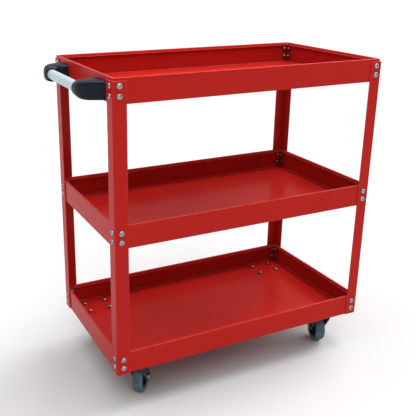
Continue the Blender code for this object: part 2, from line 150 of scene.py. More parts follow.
class Sum:
    """A socket that takes arithmetic signs, each of which adds a Math node."""

    def __init__(self, board: Board, socket: bpy.types.NodeSocket) -> None:
        """Keep the board to add nodes to, and the socket that holds the value."""
        self.board = board
        self.socket = socket

    def __add__(self, other: Any) -> "Sum":
        """Add a value."""
        return self.board.math("ADD", self, other)

    def __sub__(self, other: Any) -> "Sum":
        """Take a value away."""
        return self.board.math("SUBTRACT", self, other)

    def __rsub__(self, other: Any) -> "Sum":
        """Take this from a value."""
        return self.board.math("SUBTRACT", other, self)

    def __mul__(self, other: Any) -> "Sum":
        """Multiply by a value."""
        return self.board.math("MULTIPLY", self, other)

    def __truediv__(self, other: Any) -> "Sum":
        """Divide by a value."""
        return self.board.math("DIVIDE", self, other)

    def __pow__(self, other: Any) -> "Sum":
        """Raise to a power."""
        return self.board.math("POWER", self, other)

    def __neg__(self) -> "Sum":
        """Change the sign."""
        return self.board.math("MULTIPLY", self, -1.0)

    def size(self) -> "Sum":
        """Drop the sign."""
        return self.board.math("ABSOLUTE", self)

    def least(self, other: Any) -> "Sum":
        """The smaller of this and a value."""
        return self.board.math("MINIMUM", self, other)

    def most(self, other: Any) -> "Sum":
        """The larger of this and a value."""
        return self.board.math("MAXIMUM", self, other)


# Finishes

class Coat:
    """A material under construction: one shader with its pattern nodes in object coordinates."""

    def __init__(self, name: str, **constants: Any) -> None:
        """Start a material.

        Args:
            name: the material's name.
            **constants: plain values for the shader's own sockets, with _ for a space.
        """
        self.material = bpy.data.materials.new(name)
        self.material.use_nodes = True
        self.board = Board(self.material.node_tree)
        self.shader = self.material.node_tree.nodes["Principled BSDF"]
        for key, value in constants.items():
            self.shader.inputs[key.replace("_", " ")].default_value = value
        self.place = self.board.add("ShaderNodeTexCoord").outputs["Object"]
        self.normal: bpy.types.NodeSocket | None = None

    def cloud(self, scale: float, detail: float = 2.0, stretch: Sequence[float] = (1, 1, 1)) -> Sum:
        """Soft noise from 0 to 1.

        Args:
            scale: cells to the metre.
            detail: how many finer layers it holds.
            stretch: how much finer it is along each axis.

        Returns:
            The noise.
        """
        place = self.place
        if tuple(stretch) != (1, 1, 1):
            place = self.board.add("ShaderNodeMapping", {"Vector": place, "Scale": stretch}).outputs[0]
        noise = self.board.add("ShaderNodeTexNoise", {"Vector": place, "Scale": scale, "Detail": detail})
        return self.board.sum(noise.outputs[0])

    def edges(self, radius: float, strength: float) -> Sum:
        """Mark the strip along sharp edges.

        Args:
            radius: how far the strip reaches in from the edge.
            strength: how hard it is drawn.

        Returns:
            1 on the edge, 0 away from it.
        """
        soft = self.board.add("ShaderNodeBevel", {"Radius": radius}, samples=4)
        true = self.board.add("ShaderNodeNewGeometry")
        same = self.board.add("ShaderNodeVectorMath", {0: soft.outputs[0], 1: true.outputs["Normal"]},
                              operation="DOT_PRODUCT")
        return ((1.0 - self.board.sum(same.outputs["Value"])) * strength).least(1.0).most(0.0)

    def facing_up(self) -> Sum:
        """Tell how far the surface looks up: 1 for a deck, 0 for an upright side."""
        true = self.board.add("ShaderNodeNewGeometry")
        apart = self.board.add("ShaderNodeSeparateXYZ", {0: true.outputs["Normal"]})
        return self.board.sum(apart.outputs[2])

    def band(self, value: Sum, low: float, high: float, start: float, end: float) -> Sum:
        """Rescale a value from one range to another, held at its ends.

        Args:
            value: the value.
            low: its value that becomes start.
            high: its value that becomes end.
            start: the first result.
            end: the last result.

        Returns:
            The rescaled value.
        """
        node = self.board.add("ShaderNodeMapRange", {0: value, 1: low, 2: high, 3: start, 4: end})
        return self.board.sum(node.outputs[0])

    def tint(self, share: Sum, first: Any, second: Any) -> bpy.types.NodeSocket:
        """Mix two colours.

        Args:
            share: how much of the second colour.
            first: a colour or a socket.
            second: a colour or a socket.

        Returns:
            The mixed colour.
        """
        ends = [(*end, 1.0) if isinstance(end, tuple) else end for end in (first, second)]
        node = self.board.add("ShaderNodeMix", data_type="RGBA")
        self.board.feed(node.inputs[0], share)
        self.board.feed(node.inputs[6], ends[0])
        self.board.feed(node.inputs[7], ends[1])
        return node.outputs[2]

    def relief(self, height: Sum, depth: float) -> None:
        """Raise a height field on the surface, on top of what is there.

        Args:
            height: the field, from 0 to 1.
            depth: how far 1 stands over 0, in metres.
        """
        inputs = {"Height": height, "Distance": depth, "Strength": 1.0}
        if self.normal is not None:
            inputs["Normal"] = self.normal
        self.normal = self.board.add("ShaderNodeBump", inputs).outputs[0]

    def done(self, colour: bpy.types.NodeSocket, roughness: Sum) -> bpy.types.Material:
        """Join the pattern to the shader.

        Args:
            colour: the base colour.
            roughness: the roughness.

        Returns:
            The finished material.
        """
        self.board.feed(self.shader.inputs["Base Color"], colour)
        self.board.feed(self.shader.inputs["Roughness"], roughness)
        if self.normal is not None:
            self.board.feed(self.shader.inputs["Normal"], self.normal)
        return self.material


@dataclass(frozen=True)
class PowderCoat:
    """Semi-gloss red powder coat on pressed sheet, with a pale pink painted highlight along folds and cut
    edges, strongest where they face up.
    """

    deep: Colour = (0.375, 0.0115, 0.0084)
    bright: Colour = (0.405, 0.0132, 0.0098)
    # pale pink of the painted highlight along folds and cut edges
    edge: Colour = (0.860, 0.2700, 0.2500)
    gloss: float = 0.24
    sheet_wave: float = 0.0006      # slow unevenness of the sheet
    peel: float = 0.000010          # fine orange peel of the coat

    def make(self) -> bpy.types.Material:
        """Build the material."""
        coat = Coat(Finish.RED.value, Specular_IOR_Level=0.06)
        # painted highlight mask: a strip along folds and cut edges, full where they face up and weaker on
        # upright sides
        rim = coat.edges(0.0024, 4.0) * coat.band(coat.facing_up(), 0.05, 0.60, 0.22, 1.0)
        tone = coat.cloud(6.0, 3.0)
        colour = coat.tint(coat.band(tone, 0.30, 0.70, 0.0, 1.0), self.deep, self.bright)
        # paint the highlight colour into that strip, broken up by noise
        colour = coat.tint(rim * coat.band(coat.cloud(45.0), 0.35, 0.65, 0.45, 0.95), colour, self.edge)
        coat.relief(coat.cloud(4.5, 0.5), self.sheet_wave)
        coat.relief(coat.cloud(520.0, 2.0), self.peel)
        shine = coat.band(coat.cloud(9.0, 3.0), 0.25, 0.75, self.gloss - 0.02, self.gloss + 0.03)
        return coat.done(colour, shine + rim * 0.08)


@dataclass(frozen=True)
class ZincPlate:
    """Bright zinc plating with a faint blue cast and fine turning marks."""

    pale: Colour = (0.420, 0.500, 0.540)
    dull: Colour = (0.190, 0.240, 0.275)
    gloss: float = 0.20

    def make(self) -> bpy.types.Material:
        """Build the material."""
        coat = Coat(Finish.ZINC.value, Metallic=1.0)
        patches = coat.cloud(230.0, 3.0)
        rim = coat.edges(0.0004, 2.0)
        colour = coat.tint(coat.band(patches, 0.32, 0.68, 0.0, 1.0), self.pale, self.dull)
        # painted highlight: near-white colour along the sharp edges
        colour = coat.tint(rim * 0.6, colour, (0.86, 0.89, 0.92))
        coat.relief(coat.cloud(1500.0, 2.0, (1.0, 1.0, 4.0)), 0.000010)
        return coat.done(colour, coat.band(patches, 0.25, 0.75, self.gloss - 0.06, self.gloss + 0.12))


@dataclass(frozen=True)
class MouldedPlastic:
    """Black moulded plastic with a spark-eroded grain and a pale bluish painted highlight along its edges."""

    name: str = Finish.PLASTIC.value
    deep: Colour = (0.0034, 0.0038, 0.0058)
    # pale bluish tone: a little of it at random, and along the edges as a painted highlight
    pale_edge_tone: Colour = (0.0520, 0.0620, 0.0880)
    gloss: float = 0.28
    grain: float = 0.000035
    grain_scale: float = 1500.0

    def make(self) -> bpy.types.Material:
        """Build the material."""
        coat = Coat(self.name, Specular_IOR_Level=0.26, Specular_Tint=(0.60, 0.74, 1.0, 1.0))
        # strip along the edges that carries the painted highlight
        rim = coat.edges(0.0026, 2.4)
        grain = coat.cloud(self.grain_scale, 2.0)
        tone = coat.cloud(28.0, 3.0)
        colour = coat.tint(coat.band(tone, 0.30, 0.75, 0.0, 0.08), self.deep, self.pale_edge_tone)
        # paint the pale tone into the edge strip as a highlight
        colour = coat.tint(rim * 0.65, colour, self.pale_edge_tone)
        coat.relief(grain, self.grain)
        shine = coat.band(tone, 0.25, 0.75, self.gloss - 0.05, self.gloss + 0.10)
        return coat.done(colour, shine + grain * 0.06)


@dataclass(frozen=True)
class TubeLacquer:
    """Pale grey-blue lacquer over a drawn tube, with faint rings left round it."""

    pale: Colour = (0.500, 0.580, 0.650)
    deep: Colour = (0.390, 0.460, 0.530)
    ring_pitch: float = 0.0042
    gloss: float = 0.34

    def make(self) -> bpy.types.Material:
        """Build the material."""
        coat = Coat(Finish.TUBE.value, Metallic=0.25, Specular_IOR_Level=0.5)
        rings = coat.board.add("ShaderNodeTexWave", {
            "Vector": coat.place, "Scale": 0.314 / self.ring_pitch, "Distortion": 0.6,
            "Detail": 1.0}, wave_type="BANDS", bands_direction="Y")
        ring = coat.board.sum(rings.outputs["Fac"])
        smear = coat.cloud(60.0, 3.0, (1.0, 6.0, 1.0))
        colour = coat.tint(ring * 0.35 + smear * 0.45, self.pale, self.deep)
        coat.relief(ring, 0.000025)
        coat.relief(coat.cloud(900.0), 0.000012)
        return coat.done(colour, coat.band(smear, 0.25, 0.75, self.gloss - 0.05, self.gloss + 0.08))


@dataclass(frozen=True)
class Rubber:
    """Grey-blue tyre rubber, a little paler where the tread has been on the floor."""

    deep: Colour = (0.038, 0.084, 0.118)
    dusty: Colour = (0.135, 0.175, 0.198)
    gloss: float = 0.55

    def make(self) -> bpy.types.Material:
        """Build the material."""
        coat = Coat(Finish.RUBBER.value, Specular_IOR_Level=0.35)
        dust = coat.cloud(90.0, 4.0)
        rim = coat.edges(0.0008, 1.8)
        colour = coat.tint(coat.band(dust, 0.35, 0.72, 0.0, 0.75), self.deep, self.dusty)
        colour = coat.tint(rim * 0.5, colour, self.dusty)
        coat.relief(coat.cloud(1300.0, 3.0), 0.000040)
        return coat.done(colour, coat.band(dust, 0.25, 0.75, self.gloss - 0.08, self.gloss + 0.15))


@dataclass(frozen=True)
class BlackSteel:
    """Black stove enamel on pressed steel, with grey showing at rubbed edges."""

    deep: Colour = (0.0120, 0.0130, 0.0160)
    pale_edge_tone: Colour = (0.120, 0.126, 0.135)
    gloss: float = 0.34

    def make(self) -> bpy.types.Material:
        """Build the material."""
        coat = Coat(Finish.STEEL.value, Metallic=0.2, Specular_IOR_Level=0.5)
        rim = coat.edges(0.0007, 2.2)
        chips = coat.band(coat.cloud(260.0, 4.0), 0.46, 0.60, 0.0, 1.0)
        tone = coat.cloud(40.0, 3.0)
        colour = coat.tint(coat.band(tone, 0.3, 0.7, 0.0, 0.18), self.deep, self.pale_edge_tone)
        colour = coat.tint(rim * chips * 0.8, colour, self.pale_edge_tone)
        coat.relief(coat.cloud(700.0, 2.0), 0.000016)
        shine = coat.band(tone, 0.25, 0.75, self.gloss - 0.05, self.gloss + 0.12)
        return coat.done(colour, shine + rim * chips * 0.1)


@dataclass(frozen=True)
class StudioFloor:
    """Plain pale floor."""

    colour: Colour = (0.45, 0.45, 0.45)

    def make(self) -> bpy.types.Material:
        """Build the material."""
        coat = Coat("studio_floor", Specular_IOR_Level=0.2)
        tone = coat.cloud(0.8)
        pale = tuple(min(1.0, channel * 1.01) for channel in self.colour)
        return coat.done(coat.tint(tone, self.colour, pale), coat.band(tone, 0.3, 0.7, 0.72, 0.78))


@dataclass
class PaintShop:
    """Makes each finish once and puts pieces in place on their bodies."""

    coats: dict[Finish, bpy.types.Material] = field(default_factory=dict)

    def __post_init__(self) -> None:
        """Mix every finish."""
        # the hub takes the same painted edge highlight, in grey
        hub = MouldedPlastic(name=Finish.HUB.value, deep=(0.0100, 0.0110, 0.0130),
                             pale_edge_tone=(0.0600, 0.0600, 0.0640), gloss=0.44, grain=0.000030)
        self.coats = {
            Finish.RED: PowderCoat().make(), Finish.ZINC: ZincPlate().make(),
            Finish.PLASTIC: MouldedPlastic().make(), Finish.TUBE: TubeLacquer().make(),
            Finish.RUBBER: Rubber().make(), Finish.STEEL: BlackSteel().make(), Finish.HUB: hub.make(),
        }

    def dress(self, item: bpy.types.Object, finish: Finish, body: str, nodes: Iterable[str]) -> None:
        """Coat a piece, hang it on its body and hide the solids it stands for.

        Args:
            item: the finished mesh object.
            finish: the coat it wears.
            body: the body it moves with.
            nodes: the frame's nodes that it stands for.
        """
        item.data.materials.clear()
        item.data.materials.append(self.coats[finish])
        item.data.shade_smooth()
        item.data.set_sharp_from_angle(angle=SHARP_ANGLE)
        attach(item, body)
        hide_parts(*nodes)
        LOG.info("%s: %d faces, %s, on %s", item.name, len(item.data.polygons), finish.value, body)


# Mesh work

def show(name: str, shape: bmesh.types.BMesh) -> bpy.types.Object:
    """Turn a bmesh into an object in the scene.

    Args:
        name: the piece's name.
        shape: the mesh, which is freed.

    Returns:
        The new object at the origin.
    """
    mesh = bpy.data.meshes.new(name)
    shape.to_mesh(mesh)
    shape.free()
    item = bpy.data.objects.new(name, mesh)
    bpy.context.scene.collection.objects.link(item)
    return item


def settle(item: bpy.types.Object) -> bpy.types.Object:
    """Swap an object's mesh for what its modifiers make of it, and remove them.

    Args:
        item: the object.

    Returns:
        The same object with a plain mesh whose faces point outwards.
    """
    graph = bpy.context.evaluated_depsgraph_get()
    mesh = bpy.data.meshes.new_from_object(item.evaluated_get(graph), depsgraph=graph)
    item.modifiers.clear()
    item.data = mesh
    shape = bmesh.new()
    shape.from_mesh(mesh)
    bmesh.ops.remove_doubles(shape, verts=shape.verts, dist=1e-6)
    bmesh.ops.recalc_face_normals(shape, faces=shape.faces)
    shape.to_mesh(mesh)
    shape.free()
    return item


def chamfer(item: bpy.types.Object, width: float, angle: float = 50.0) -> None:
    """Break the sharp edges of an object with a narrow flat.

    Args:
        item: the object.
        width: the flat's width.
        angle: edges that turn more than this many degrees are broken.
    """
    step = item.modifiers.new("chamfer", "BEVEL")
    step.width = width
    step.segments = 1
    step.limit_method = "ANGLE"
    step.angle_limit = radians(angle)
    step.use_clamp_overlap = True


def loft(loops: Sequence[Sequence[Vector]], closed: bool = False) -> bmesh.types.BMesh:
    """Skin a row of closed loops that all have the same number of points.

    Args:
        loops: the loops in order.
        closed: join the last loop to the first instead of capping both.

    Returns:
        The closed shape.
    """
    shape = bmesh.new()
    rings = [[shape.verts.new(point) for point in loop] for loop in loops]
    pairs = list(zip(rings, rings[1:])) + ([(rings[-1], rings[0])] if closed else [])
    for low, high in pairs:
        for index in range(len(low)):
            after = (index + 1) % len(low)
            shape.faces.new((low[index], low[after], high[after], high[index]))
    if not closed:
        shape.faces.new(rings[0])
        shape.faces.new(rings[-1])
    bmesh.ops.recalc_face_normals(shape, faces=shape.faces)
    return shape


def turned(profile: Sequence[tuple[float, float]], sides: int, closed: bool = True) -> bmesh.types.BMesh:
    """A turned body about Z.

    Args:
        profile: (radius, height) points.
        sides: how many flats make a full turn.
        closed: the profile is a closed line, as on a ring.

    Returns:
        The closed shape.
    """
    turns = [2 * pi * index / sides for index in range(sides)]
    return loft([[Vector((r * cos(t), r * sin(t), z)) for t in turns] for r, z in profile], closed)


def prism(outline: Sequence[tuple[float, float]], low: float, high: float,
          lay: Matrix | None = None) -> bmesh.types.BMesh:
    """Raise a flat outline between two heights.

    Args:
        outline: its points.
        low: the lower height.
        high: the upper height.
        lay: where the result goes.

    Returns:
        The closed shape.
    """
    lay = lay or Matrix()
    return loft([[lay @ Vector((x, y, z)) for x, y in outline] for z in (low, high)])


def arc(x: float, y: float, radius: float, start: float, end: float, steps: int) -> list[tuple[float, float]]:
    """Points along an arc.

    Args:
        x: centre.
        y: centre.
        radius: its radius.
        start: first angle in degrees.
        end: last angle in degrees.
        steps: how many chords it has.

    Returns:
        steps + 1 points.
    """
    angles = [radians(start + (end - start) * index / steps) for index in range(steps + 1)]
    return [(x + radius * cos(a), y + radius * sin(a)) for a in angles]


def rounded(half_x: float, half_y: float, radius: float, steps: int) -> list[tuple[float, float]]:
    """A rectangle with round corners.

    Args:
        half_x: half its length.
        half_y: half its width.
        radius: corner radius.
        steps: chords to a corner.

    Returns:
        Its outline.
    """
    points: list[tuple[float, float]] = []
    for sign_x, sign_y, start in ((1, 1, 0), (-1, 1, 90), (-1, -1, 180), (1, -1, 270)):
        points += arc(sign_x * (half_x - radius), sign_y * (half_y - radius), radius,
                      start, start + 90, steps)
    return points


def combine(item: bpy.types.Object, tool: bmesh.types.BMesh, operation: str) -> None:
    """Cut, join or intersect an object with a shape, at once.

    Args:
        item: the object.
        tool: the shape, in the same coordinates.
        operation: DIFFERENCE, UNION or INTERSECT.
    """
    other = show("tool", tool)
    step = item.modifiers.new("combine", "BOOLEAN")
    step.operation = operation
    step.solver = "EXACT"
    step.object = other
    settle(item)
    bpy.data.objects.remove(other, do_unlink=True)


# Geometry Nodes trees

class Recipe:
    """A Geometry Nodes tree with named inputs."""

    def __init__(self, name: str) -> None:
        """Start a tree with a geometry input, a geometry output and a material input."""
        self.tree = bpy.data.node_groups.new(name, "GeometryNodeTree")
        face = self.tree.interface
        face.new_socket("Geometry", in_out="OUTPUT", socket_type="NodeSocketGeometry")
        face.new_socket("Geometry", in_out="INPUT", socket_type="NodeSocketGeometry")
        face.new_socket("Material", in_out="INPUT", socket_type="NodeSocketMaterial")
        self.board = Board(self.tree)
        self.entry = self.board.add("NodeGroupInput")
        self.ids = {item.name: item.identifier for item in face.items_tree if item.in_out == "INPUT"}

    def size(self, name: str, kind: str = "Float") -> Sum:
        """Add a named input.

        Args:
            name: its name.
            kind: Float, Int or Bool.

        Returns:
            The input, ready for arithmetic.
        """
        socket = self.tree.interface.new_socket(name, in_out="INPUT", socket_type=f"NodeSocket{kind}")
        self.ids[name] = socket.identifier
        return self.board.sum(self.entry.outputs[name])

    def turned(self, low: Any, high: Any, steps: int, sides: Any, scale: Any) -> bpy.types.NodeSocket:
        """Add a body turned about Z.

        Args:
            low: height of its first end.
            high: height of its last end.
            steps: rings along it.
            sides: flats to a turn.
            scale: its radius along the way, a field of the spline factor.

        Returns:
            The closed mesh.
        """
        board = self.board
        ends = [board.add("ShaderNodeCombineXYZ", {"Z": height}).outputs[0] for height in (low, high)]
        line = board.add("GeometryNodeCurvePrimitiveLine", {"Start": ends[0], "End": ends[1]})
        line = board.add("GeometryNodeResampleCurve", {"Curve": line.outputs[0], "Count": steps})
        ring = board.add("GeometryNodeCurvePrimitiveCircle", {"Resolution": sides, "Radius": 1.0})
        body = board.add("GeometryNodeCurveToMesh", {
            "Curve": line.outputs[0], "Profile Curve": ring.outputs[0], "Scale": scale,
            "Fill Caps": True})
        return body.outputs[0]

    def factor(self) -> Sum:
        """How far along the spline a point is, from 0 to 1."""
        return self.board.sum(self.board.add("GeometryNodeSplineParameter").outputs["Factor"])

    def finish(self, geometry: bpy.types.NodeSocket) -> None:
        """End the tree: instances are made real and the material is set.

        Args:
            geometry: the result so far.
        """
        real = self.board.add("GeometryNodeRealizeInstances", {"Geometry": geometry})
        coated = self.board.add("GeometryNodeSetMaterial", {
            "Geometry": real.outputs[0], "Material": self.entry.outputs["Material"]})
        self.board.add("NodeGroupOutput", {"Geometry": coated.outputs[0]})

    def run(self, item: bpy.types.Object, material: bpy.types.Material, **sizes: Any) -> bpy.types.Object:
        """Put the tree on an object, set its inputs and turn the result into a plain mesh.

        Args:
            item: the object whose mesh goes in.
            material: the finish.
            **sizes: values for the named inputs, with _ for a space.

        Returns:
            The object with the finished mesh.
        """
        step = item.modifiers.new("recipe", "NODES")
        step.node_group = self.tree
        step[self.ids["Material"]] = material
        for name, value in sizes.items():
            step[self.ids[name.replace("_", " ")]] = value
        return settle(item)


def fastener_recipe() -> Recipe:
    """A head, shank, nut and thread end on every point, turned to the point's axis.

    Returns:
        The tree. The points carry their direction in an attribute named axis.
    """
    recipe = Recipe("fasteners")
    board = recipe.board
    head_radius, head_height = recipe.size("Head Radius"), recipe.size("Head Height")
    head_sides, crown = recipe.size("Head Sides", "Int"), recipe.size("Crown")
    recess, slot = recipe.size("Recess Length"), recipe.size("Recess Width")
    grip, shank = recipe.size("Grip"), recipe.size("Shank Radius")
    nut_radius, nut_height = recipe.size("Nut Radius"), recipe.size("Nut Height")
    thread, pitch, seed = recipe.size("Thread End"), recipe.size("Pitch"), recipe.size("Seed", "Int")

    along = recipe.factor() * 0.985
    dome = (1.0 - along ** crown) ** board.math("DIVIDE", 1.0, crown)
    head = recipe.turned(TOUCH, head_height + TOUCH, 10, head_sides, dome * head_radius)
    bars = []
    for length, width in ((recess, slot), (slot, recess)):
        size = board.add("ShaderNodeCombineXYZ", {"X": length, "Y": width, "Z": head_height * 1.5})
        bar = board.add("GeometryNodeMeshCube", {"Size": size.outputs[0]})
        lift = board.add("ShaderNodeCombineXYZ", {"Z": head_height + TOUCH})
        bars.append(board.add("GeometryNodeTransform", {
            "Geometry": bar.outputs[0], "Translation": lift.outputs[0]}).outputs[0])
    cut = board.add("GeometryNodeMeshBoolean", {"Mesh 1": head}, operation="DIFFERENCE", solver="EXACT")
    for bar in bars:
        board.tree.links.new(bar, cut.inputs["Mesh 2"])
    crossed = board.math("GREATER_THAN", recess, 0.0)
    choice = board.add("GeometryNodeSwitch", {
        "Switch": crossed, "False": head, "True": cut.outputs[0]}, input_type="GEOMETRY")

    nut_top = -grip - TOUCH
    nut_foot = nut_top - nut_height
    way = recipe.factor()
    end = way.least(1.0 - way)
    nut = recipe.turned(nut_top, nut_foot, 12, 6, (end * 3.0 + 0.86).least(1.0) * nut_radius)
    tip = nut_foot - thread
    root = board.math("PINGPONG", (way * (nut_foot - tip + nut_height)) / pitch, 0.5)
    rings = (1.0 - root * 0.16) * (1.0 - (way ** 12.0) * 0.25)
    screw = recipe.turned(nut_top, tip, 28, 12, rings * shank)
    stem = recipe.turned(TOUCH * 2, nut_top - TOUCH, 2, 12, shank)

    whole = board.add("GeometryNodeJoinGeometry")
    for part in (choice.outputs[0], nut, screw, stem):
        board.tree.links.new(part, whole.inputs[0])
    axis = board.add("GeometryNodeInputNamedAttribute", {"Name": "axis"}, data_type="FLOAT_VECTOR")
    aim = board.add("FunctionNodeAlignRotationToVector", {"Vector": axis.outputs[0]}, axis="Z")
    turn = board.add("FunctionNodeRandomValue", {2: 0.0, 3: 2 * pi, "Seed": seed}, data_type="FLOAT")
    roll = board.add("FunctionNodeAxisAngleToRotation", {"Axis": UP, "Angle": turn.outputs[1]})
    pose = board.add("FunctionNodeRotateRotation", {
        "Rotation": aim.outputs[0], "Rotate By": roll.outputs[0]}, rotation_space="LOCAL")
    placed = board.add("GeometryNodeInstanceOnPoints", {
        "Points": recipe.entry.outputs["Geometry"], "Instance": whole.outputs[0],
        "Rotation": pose.outputs[0]})
    recipe.finish(placed.outputs[0])
    return recipe


def tyre_recipe() -> Recipe:
    """A tyre about Z with round shoulders and grooves running round the tread.

    Returns:
        The tree. It needs no input mesh.
    """
    recipe = Recipe("tyre")
    board = recipe.board
    radius, width = recipe.size("Wheel Radius"), recipe.size("Width")
    thickness, shoulder = recipe.size("Thickness"), recipe.size("Shoulder")
    pitch, depth = recipe.size("Groove Pitch"), recipe.size("Groove Depth")
    reach = recipe.size("Groove Reach")
    grid = board.add("GeometryNodeMeshGrid", {
        "Size X": 1.0, "Size Y": 1.0, "Vertices X": recipe.size("Profile Points", "Int"),
        "Vertices Y": recipe.size("Turn Points", "Int")})
    apart = board.add("ShaderNodeSeparateXYZ", {0: board.add("GeometryNodeInputPosition").outputs[0]})
    across = board.sum(apart.outputs[0]) * (2 * pi)
    turn = board.sum(apart.outputs[1]) * (2 * pi)
    bow = board.math("DIVIDE", 2.0, shoulder)
    side, rise = board.math("COSINE", across), board.math("SINE", across)
    z = (side.size() ** bow) * board.math("SIGN", side) * (width * 0.5)
    r = (rise.size() ** bow) * board.math("SIGN", rise) * (thickness * 0.5) + (radius - thickness * 0.5)
    wave = board.math("COSINE", z * (board.math("DIVIDE", 2 * pi, pitch))) * 0.5 + 0.5
    outer = board.math("GREATER_THAN", rise, 0.2) * board.math("LESS_THAN", z.size(), reach)
    r = r - (wave ** 6.0) * depth * outer
    spot = board.add("ShaderNodeCombineXYZ", {
        "X": r * board.math("COSINE", turn), "Y": r * board.math("SINE", turn), "Z": z})
    bent = board.add("GeometryNodeSetPosition", {"Geometry": grid.outputs[0], "Position": spot.outputs[0]})
    sealed = board.add("GeometryNodeMergeByDistance", {"Geometry": bent.outputs[0], "Distance": 2e-6})
    recipe.finish(sealed.outputs[0])
    return recipe


def rib_recipe() -> Recipe:
    """Radial ribs round a hub, added to the mesh that goes in.

    Returns:
        The tree.
    """
    recipe = Recipe("hub_ribs")
    board = recipe.board
    inner, outer = recipe.size("Inner Radius"), recipe.size("Outer Radius")
    sheet, depth, count = recipe.size("Rib Thickness"), recipe.size("Rib Depth"), recipe.size("Ribs", "Int")
    size = board.add("ShaderNodeCombineXYZ", {"X": outer - inner, "Y": sheet, "Z": depth})
    bar = board.add("GeometryNodeMeshCube", {"Size": size.outputs[0]})
    shift = board.add("ShaderNodeCombineXYZ", {"X": (outer + inner) * 0.5})
    bar = board.add("GeometryNodeTransform", {"Geometry": bar.outputs[0], "Translation": shift.outputs[0]})
    centre = board.add("GeometryNodePoints", {"Count": count})
    index = board.sum(board.add("GeometryNodeInputIndex").outputs[0])
    spin = board.add("FunctionNodeAxisAngleToRotation", {"Axis": UP, "Angle": index * (2 * pi) / count})
    ribs = board.add("GeometryNodeInstanceOnPoints", {
        "Points": centre.outputs[0], "Instance": bar.outputs[0], "Rotation": spin.outputs[0]})
    whole = board.add("GeometryNodeJoinGeometry")
    for part in (recipe.entry.outputs["Geometry"], ribs.outputs[0]):
        board.tree.links.new(part, whole.inputs[0])
    recipe.finish(whole.outputs[0])
    return recipe


# Trays and posts

@dataclass
class Tray:
    """One tray folded from a single sheet: deck, four sides, and a rim turned in with a short lip."""

    node: str
    sheet: float = 0.0012
    foot_bend: float = 0.0020
    rim_width: float = 0.0050
    rim_fold: float = 0.0014
    lip: float = 0.0070
    lip_lean: float = 0.0020        # how far the lip's lower edge leans into the tray
    corner_gap: float = 0.0015      # from a side's end to the next side's outer face
    mitre: float = 0.0003           # from a rim's end to the diagonal of the corner
    relief_drop: float = 0.0045     # middle of the punched relief below the rim
    relief_reach: float = 0.0012
    hold: float = 0.0005            # narrow strip that keeps the shading of a flat side flat
    edge_break: float = 0.00014

    def profile(self, height: float) -> list[tuple[float, float, float]]:
        """The fold line of one side.

        Args:
            height: height of the rim over the foot.

        Returns:
            (inset, height, trim) points from deck to lip; trim shortens the side at each end.
        """
        bend, fold, width = self.foot_bend, self.rim_fold, self.rim_width
        line = [(x, z, max(x, self.corner_gap)) for x, z in arc(bend, bend, bend, 270, 180, 6)]
        line[0] = (bend, 0.0, bend)
        relief = height - self.relief_drop
        line.append((0.0, bend + self.hold, self.corner_gap))
        for step in (-1.0, -0.6, 0.0, 0.6, 1.0):
            bulge = self.relief_reach * (1.0 - step * step) ** 0.5
            line.append((0.0, relief + step * 0.0012, self.corner_gap + bulge))
        line.append((0.0, height - fold - self.hold, self.corner_gap))
        folds = arc(fold, height - fold, fold, 180, 90, 6)
        folds += [(fold + self.hold, height), (width - fold - self.hold, height)]
        folds += arc(width - fold, height - fold, fold, 90, 20, 6)
        folds += [(width + self.lip_lean * 0.1, height - fold - self.hold),
                  (width + self.lip_lean, height - self.lip)]
        line += [(x, z, max(self.corner_gap, x + self.mitre)) for x, z in folds]
        return line

    def build(self) -> bpy.types.Object:
        """Fold the sheet.

        Returns:
            The tray in place.
        """
        low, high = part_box(self.node)
        middle = (low + high) / 2
        half = (high - low) / 2
        line = self.profile(high.z - low.z)
        shape = bmesh.new()
        for turn in range(4):
            out = Matrix.Rotation(turn * pi / 2, 3, "Z") @ Vector((0, -1, 0))
            along = Matrix.Rotation(turn * pi / 2, 3, "Z") @ Vector((1, 0, 0))
            reach, length = (half.y, half.x) if turn % 2 == 0 else (half.x, half.y)
            rows = []
            for inset, height, trim in line:
                spot = Vector((middle.x, middle.y, low.z + height)) + out * (reach - inset)
                rows.append([shape.verts.new(spot + along * end * (length - trim)) for end in (-1, 1)])
            for under, over in zip(rows, rows[1:]):
                shape.faces.new((under[0], under[1], over[1], over[0]))
        rings = []
        for inset in (self.foot_bend, self.foot_bend + self.hold):
            x, y = half.x - inset, half.y - inset
            rings.append([shape.verts.new((middle.x + sx * x, middle.y + sy * y, low.z))
                          for sx, sy in ((-1, -1), (-1, 1), (1, 1), (1, -1))])
        for index in range(4):
            after = (index + 1) % 4
            shape.faces.new((rings[0][index], rings[0][after], rings[1][after], rings[1][index]))
        shape.faces.new(rings[1])
        bmesh.ops.remove_doubles(shape, verts=shape.verts, dist=1e-6)
        item = show(f"{self.node}_folded", shape)
        wall = item.modifiers.new("sheet", "SOLIDIFY")
        wall.thickness = self.sheet
        wall.offset = -1.0
        wall.use_even_offset = True
        chamfer(item, self.edge_break)
        return settle(item)

    def dress(self, shop: PaintShop) -> None:
        """Build and coat the tray."""
        shop.dress(self.build(), Finish.RED, FRAME_BODY, (self.node,))


